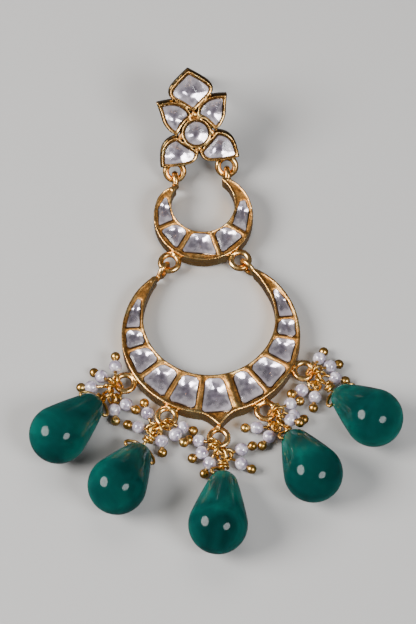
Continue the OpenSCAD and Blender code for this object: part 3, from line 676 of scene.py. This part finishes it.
# Loose rings
# A ring of gold wire through each soldered ring gathers one cluster. It is bent round and its cut ends
# meet in a fine seam.
GATHER_R = 1.45
GATHER_WIRE_R = 0.27
GATHER_PITCH = math.radians(25)
GATHER_SHIFT = 0.5
SEAM_AT = 196
SEAM_TO_SEAM = 352


class Gather:
    """Where a cluster's loose ring lies."""

    def __init__(self, row):
        angle, reach, roll, a = row
        self.pull = heading(a) * math.cos(GATHER_PITCH) + Vector((0, 0, math.sin(GATHER_PITCH)))
        level = Vector((math.cos(math.radians(a)), math.sin(math.radians(a)), 0))
        roll = math.radians(roll)
        self.across = math.cos(roll) * level + math.sin(roll) * self.pull.cross(level)
        self.centre = (LARGE_CENTRE + reach * heading(angle) + RING_R * heading(a)
                       + Vector((0, 0, LARGE_RING_Z)) + GATHER_SHIFT * self.pull)

    def point(self, a):
        a = math.radians(a)
        return self.centre + GATHER_R * (math.cos(a) * self.pull + math.sin(a) * self.across)

    def tangent(self, a):
        a = math.radians(a)
        return math.cos(a) * self.across - math.sin(a) * self.pull


gathers = [Gather(row) for row in CLUSTERS]
for k, gather in enumerate(gathers):
    bm = bmesh.new()
    tube(bm, [gather.point(SEAM_AT + SEAM_TO_SEAM * i / 48) for i in range(49)], GATHER_WIRE_R, 12)
    finished(bm, "loose_ring_%d" % (k + 1), wire_gold, "jump_ring_%d" % (k + 1))

# Pearls and their pins
# Seed pearls on gold pins. A pin ends in a small solid ball, and its other end is turned into an eye
# round the loose ring and closed against its own neck.
PIN_ROWS = (
    # place on the loose ring, heading, lift, bare wire before the pearl
    ((-101, 176, 0.9, 0.4), (-70, -138, 0, 0.5), (-40, -104, 0, 1.1), (40, 4, 0, 0), (70, 51, 0, 0)),
    ((-70, -168, 0, 0.6), (-42, -112, 0, 0.1), (41, 0, 0, 0), (71, 43, 0.7, 0.2), (101, 76, 0, 0.5)),
    ((-101, -112.5, 0, 0.5), (-73, -74, 0, 0.2), (-44, -35, 0, 0.35), (40, 58, 0, 0.7), (70, 103, 0, 0.3)),
    ((-70, -90, 0, 0.6), (-40, -42, 0, 0), (77, 77.5, 0, 0.6), (37, 50, 2.1, 0.1), (106, 114, 0, 0.85)),
    ((-70, -69, 0, 0), (-40, -14, 0, 0), (41, 80, 0, 0.7), (70, 114, 0, 0.6), (100, 150, 0, 0.5)),
)
PEARL_R = 1.08
BALL_R = 0.79
PIN_WIRE_R = 0.23
PIN_EYE_R = 0.74
PIN_EYE_START = 14
PIN_EYE_TURN = 338
PEARL_HOLE_R = PIN_WIRE_R + 0.08
EYE_SEAT = 0.24
PEARL_AT = PIN_EYE_R + 0.2 + PEARL_R
BALL_AFTER = PEARL_R + BALL_R + 0.02

pearl_mat, nodes, links, shader = new_material("seed pearl")
shader.inputs["Roughness"].default_value = 0.26
shader.inputs["Subsurface Weight"].default_value = 0.25
shader.inputs["Subsurface Radius"].default_value = (0.0007, 0.0005, 0.0005)
shader.inputs["Coat Weight"].default_value = 1.0
shader.inputs["Coat Roughness"].default_value = 0.05
shader.inputs["Coat IOR"].default_value = 2.0
nacre = texture(nodes, links, "ShaderNodeTexNoise", 900.0, Detail=3.0, Distortion=0.6)
links.new(ramp(nodes, links, nacre.outputs["Fac"], [
    (0.34, (0.26, 0.21, 0.29)), (0.5, (0.46, 0.41, 0.49)), (0.66, (0.82, 0.78, 0.83)),
]), shader.inputs["Base Color"])
skin = texture(nodes, links, "ShaderNodeTexNoise", 2400.0, Detail=2.0)
links.new(bump(nodes, links, skin.outputs["Fac"], 0.00004, 0.9), shader.inputs["Normal"])


def pin_place(gather, row):
    """Frame of a pin: X along it, Z along the loose ring, origin in the middle of its eye. Its pearl and
    its ball rest on the table, unless the row lifts them."""
    place, pin_heading, lift, bare = row
    at = gather.point(place)
    reach = EYE_SEAT + PEARL_AT + bare
    slope = max((PEARL_R - at.z) / reach, (BALL_R - at.z) / (reach + BALL_AFTER)) + lift / reach
    level = math.sqrt(1 - slope * slope)
    x = heading(pin_heading) * level + Vector((0, 0, slope))
    t = gather.tangent(place)
    z = (t - t.dot(x) * x).normalized()
    y = z.cross(x)
    p = at + EYE_SEAT * x
    return Matrix(((x.x, y.x, z.x, p.x), (x.y, y.y, z.y, p.y), (x.z, y.z, z.z, p.z), (0, 0, 0, 1)))


def pearl_profile(r, hole):
    """Half outline of a drilled pearl, from one end of its hole round to the other."""
    edge = math.asin(hole / r)
    rows = []
    for i in range(19):
        t = edge + (math.pi - 2 * edge) * i / 18
        rows.append((r * math.sin(t), -r * math.cos(t)))
    return rows


def drilled(bm, profile, place, sides, rng):
    """A pearl, slightly out of round, with a real hole through it."""
    squash = 1 + rng.uniform(-0.04, 0.03)
    phase, lobe = rng.uniform(0, 6.28), rng.uniform(0.005, 0.02)
    hole = profile[0][0]
    inner = [(hole, profile[-1][1] * 0.5), (hole, profile[0][1] * 0.5)]
    rings = []
    for r, h in profile + inner:
        ring = []
        for j in range(sides):
            t = 2 * math.pi * j / sides
            k = 1 + (lobe * math.cos(2 * t + phase) if r > hole * 1.2 else 0)
            ring.append(bm.verts.new(place @ Vector((h * squash, r * k * math.cos(t), r * k * math.sin(t)))))
        rings.append(ring)
    rings.append(rings[0])
    bridge(bm, rings)


def ball_profile(r, wire):
    """Half outline of an end ball, from the collar round its wire to its far side."""
    rows = [(0, -r - 0.05), (wire * 1.5, -r - 0.05), (wire * 1.7, -r + 0.02)]
    for i in range(1, 15):
        t = math.pi * i / 15
        if t > 0.34:
            rows.append((r * math.sin(t), -r * math.cos(t)))
    return rows + [(0, r)]


def pin_path(pearl_x):
    """Middle line of a pin's wire: nearly a full turn for the eye, then the neck and the shaft."""
    eye = [Vector((PIN_EYE_R * math.cos(t), PIN_EYE_R * math.sin(t), 0.1 * (t / math.pi - 1.1)))
           for t in (math.radians(PIN_EYE_START + PIN_EYE_TURN * i / 26) for i in range(27))]
    neck = [Vector((PIN_EYE_R + 0.02, -0.06, 0.07)), Vector((PIN_EYE_R + 0.16, 0, 0.02))]
    shaft = [Vector((PIN_EYE_R + 0.4, 0, 0)), Vector((pearl_x, 0, 0)),
             Vector((pearl_x + BALL_AFTER - BALL_R * 0.5, 0, 0))]
    return eye + neck + shaft


along_pin = Matrix.Rotation(math.pi / 2, 4, "Y")
for k, gather in enumerate(gathers):
    rng = random.Random(100 + k)
    pearls, pins = bmesh.new(), bmesh.new()
    for row in PIN_ROWS[k]:
        place = pin_place(gather, row)
        pearl_x = PEARL_AT + row[3]
        pearl_place = place @ Matrix.Translation((pearl_x, 0, 0))
        drilled(pearls, pearl_profile(PEARL_R, PEARL_HOLE_R), pearl_place, 28, rng)
        tube(pins, [place @ p for p in pin_path(pearl_x)], PIN_WIRE_R, 8)
        ball_place = place @ Matrix.Translation((pearl_x + BALL_AFTER, 0, 0)) @ along_pin
        turned(pins, ball_profile(BALL_R, PIN_WIRE_R), ball_place, 24)
    finished(pearls, "seed_pearls_%d" % (k + 1), pearl_mat, "pearls_%d" % (k + 1))
    finished(pins, "ball_pins_%d" % (k + 1), wire_gold, "pearl_pins_%d" % (k + 1))

# Drops
# Polished deep green stone, smooth, cloudy and slightly translucent. Each drop is drilled across its tip
# for its wire, and lies on the table on its round end and its flank.
DROP_ROWS = (
    # x, y, heading, length, turn of the hole
    (-26.1, -23.1, -43, 15.1, 10),
    (-17.3, -32.9, -30.5, 14.3, 20),
    (-1.86, -41.1, -10.5, 15.5, 45),
    (14.1, -33.4, 17, 14.4, 35),
    (24.85, -24.35, 38, 13.9, 0),
)
DROP_R = 4.75
TIP_R = 2.45
FLANK_BOW = 0.08
HOLE_R = 0.36
HOLE_AT = 1.5
DRILL_LENGTH = 8.0
CREASE = 0.6

drop_mat, nodes, links, shader = new_material("green stone")
shader.inputs["Roughness"].default_value = 0.085
shader.inputs["IOR"].default_value = 1.27
shader.inputs["Subsurface Weight"].default_value = 0.9
shader.inputs["Subsurface Radius"].default_value = (0.001, 0.0075, 0.0058)
milk = texture(nodes, links, "ShaderNodeTexNoise", 120.0, Detail=5.0, Distortion=0.8)
cloudy = ramp(nodes, links, milk.outputs["Fac"], [
    (0.30, (0.0, 0.040, 0.037)), (0.50, (0.0, 0.084, 0.072)), (0.70, (0.001, 0.165, 0.128)),
])
# Painted light: the face turned to the camera is painted darker and the edges brighter, as light glowing
# through the stone.
skim = nodes.new("ShaderNodeLayerWeight")
skim.inputs["Blend"].default_value = 0.4
painted_edge_glow = ramp(nodes, links, skim.outputs["Facing"], [(0.0, 0.5), (0.45, 0.68), (0.9, 1.0)])
links.new(blend(nodes, links, "MULTIPLY", 1.0, cloudy, painted_edge_glow), shader.inputs["Base Color"])


class Drop:
    """Where a drop lies: on its round end and its flank."""

    def __init__(self, row):
        x, y, a, self.length, turn = row
        slope = (DROP_R - TIP_R) / (self.length - DROP_R - TIP_R)
        self.rise = math.asin(slope)
        self.axis = heading(a) * math.cos(self.rise) + Vector((0, 0, math.sin(self.rise)))
        self.tip = ORIGIN + Vector((x, y, DROP_R + FLANK_BOW)) - (self.length - DROP_R) * self.axis
        side = self.axis.cross(Vector((0, 0, 1))).normalized()
        t = math.radians(turn)
        self.side = math.cos(t) * side + math.sin(t) * side.cross(self.axis)
        other = self.axis.cross(self.side)
        self.place = Matrix(((self.side.x, other.x, self.axis.x, self.tip.x),
                             (self.side.y, other.y, self.axis.y, self.tip.y),
                             (self.side.z, other.z, self.axis.z, self.tip.z), (0, 0, 0, 1)))

    def profile(self):
        """Half outline: the tip's arc, a slightly bowed flank and the round end's arc."""
        a = self.rise
        rows = [(TIP_R * math.sin(t), TIP_R * (1 - math.cos(t)))
                for t in ((math.pi / 2 - a) * i / 20 for i in range(21))]
        end = [(DROP_R * math.sin(t), self.length - DROP_R - DROP_R * math.cos(t))
               for t in (math.pi / 2 - a + (math.pi / 2 + a) * i / 28 for i in range(29))]
        (r0, h0), (r1, h1) = rows[-1], end[0]
        for i in range(1, 20):
            t = i / 20
            bow = FLANK_BOW * 4 * t * (1 - t)
            rows.append((r0 + (r1 - r0) * t + math.cos(a) * bow, h0 + (h1 - h0) * t - math.sin(a) * bow))
        return [(0, 0)] + rows[1:] + end[:-1] + [(0, self.length)]

    def drill(self):
        """A rod across the tip, where the hole is."""
        place = self.place @ Matrix.Translation((0, 0, HOLE_AT)) @ Matrix.Rotation(math.pi / 2, 4, "Y")
        bm = bmesh.new()
        bmesh.ops.create_cone(bm, cap_ends=True, segments=20, radius1=HOLE_R, radius2=HOLE_R,
                              depth=DRILL_LENGTH, matrix=place)
        for v in bm.verts:
            v.co *= MM
        mesh = bpy.data.meshes.new("drill")
        bm.to_mesh(mesh)
        bm.free()
        rod = bpy.data.objects.new("drill", mesh)
        bpy.context.scene.collection.objects.link(rod)
        return rod


def bore(piece, rod):
    """Cuts the rod out of the piece and takes the rod away."""
    cut = piece.modifiers.new("hole", "BOOLEAN")
    cut.object = rod
    cut.solver = "EXACT"
    bored = bpy.data.meshes.new_from_object(piece.evaluated_get(bpy.context.evaluated_depsgraph_get()))
    piece.modifiers.clear()
    piece.data = bored
    bpy.data.objects.remove(rod)


def shade_smooth(mesh, crease):
    """Smooth shading that breaks only at edges sharper than the crease."""
    for polygon in mesh.polygons:
        polygon.use_smooth = True
    bm = bmesh.new()
    bm.from_mesh(mesh)
    for edge in bm.edges:
        if len(edge.link_faces) == 2 and edge.calc_face_angle() > crease:
            edge.smooth = False
    bm.to_mesh(mesh)
    bm.free()


drops = [Drop(row) for row in DROP_ROWS]
for k, drop in enumerate(drops):
    bm = bmesh.new()
    turned(bm, drop.profile(), drop.place, 72)
    piece = finished(bm, "green_drop_%d" % (k + 1), drop_mat, "drop_%d" % (k + 1))
    bore(piece, drop.drill())
    shade_smooth(piece.data, CREASE)

# Drop wires
# One length of gold wire for each drop. It runs through the hole, up to the neck, round an eye on the
# loose ring and back down in close turns round the neck.
WIRE_R = 0.262
WIRE_EYE_R = 0.88
WIRE_SEAT = 0.26
WRAP_R = 0.7
WRAP_PITCH = 0.53
NECK_GAP = 0.45
NECK_RISE = 0.3
WRAP_CLEAR = 0.38
BOW_ROWS = (
    # out to the side, down from the tip
    (0.29, -0.4), (0.6, -0.32), (1.5, -0.1), (2.45, 0.5), (2.82, 1.03), (2.72, 1.4), (2.4, 1.5),
)


def wire_path(gather, drop):
    """Points of a drop's wire: the bow through the hole, the neck, the eye, and the wraps."""
    foot = gather.point(0)
    bottom = drop.tip - NECK_GAP * drop.axis
    x = (bottom - foot).normalized()
    t = gather.tangent(0)
    z = (t - t.dot(x) * x).normalized()
    y = z.cross(x)
    reach = (bottom - foot).length
    neck = WIRE_SEAT + WIRE_EYE_R + NECK_RISE
    turns = max(1, math.floor((reach - WRAP_CLEAR - neck) / WRAP_PITCH))
    path = [drop.tip + h * drop.axis - s * drop.side for s, h in BOW_ROWS]
    path += [drop.tip + h * drop.axis + s * drop.side for s, h in reversed(BOW_ROWS)]
    path += [foot + a * x + b * y
             for a, b in ((neck + 0.25, 0), (neck, 0.05), (neck - 0.2, 0.2))]
    for i in range(13):
        a = math.radians(35 + 24.2 * i)
        path.append(foot + (WIRE_SEAT + WIRE_EYE_R * math.cos(a)) * x + WIRE_EYE_R * math.sin(a) * y
                    + 0.34 * ((math.degrees(a) - 35) / 290 - 0.5) * z)
    path.append(foot + (neck - 0.2) * x - 0.42 * y + 0.36 * z)
    for i in range(turns * 9 + 1):
        a = math.radians(100 - i * 40)
        path.append(foot + (neck + i / 9 * WRAP_PITCH) * x + WRAP_R * (math.cos(a) * y + math.sin(a) * z))
    return path


def eased(path, steps):
    """A smooth curve through the points of a path."""
    out = []
    for i in range(len(path) - 1):
        p0, p1, p2, p3 = path[max(i - 1, 0)], path[i], path[i + 1], path[min(i + 2, len(path) - 1)]
        for s in range(steps):
            t = s / steps
            out.append(0.5 * (2 * p1 + (p2 - p0) * t + (2 * p0 - 5 * p1 + 4 * p2 - p3) * t * t
                              + (3 * p1 - p0 - 3 * p2 + p3) * t ** 3))
    return out + [path[-1]]


for k, (gather, drop) in enumerate(zip(gathers, drops)):
    bm = bmesh.new()
    tube(bm, eased(wire_path(gather, drop), 4), WIRE_R, 10)
    finished(bm, "wrapped_wire_%d" % (k + 1), wire_gold, "drop_wire_%d" % (k + 1))
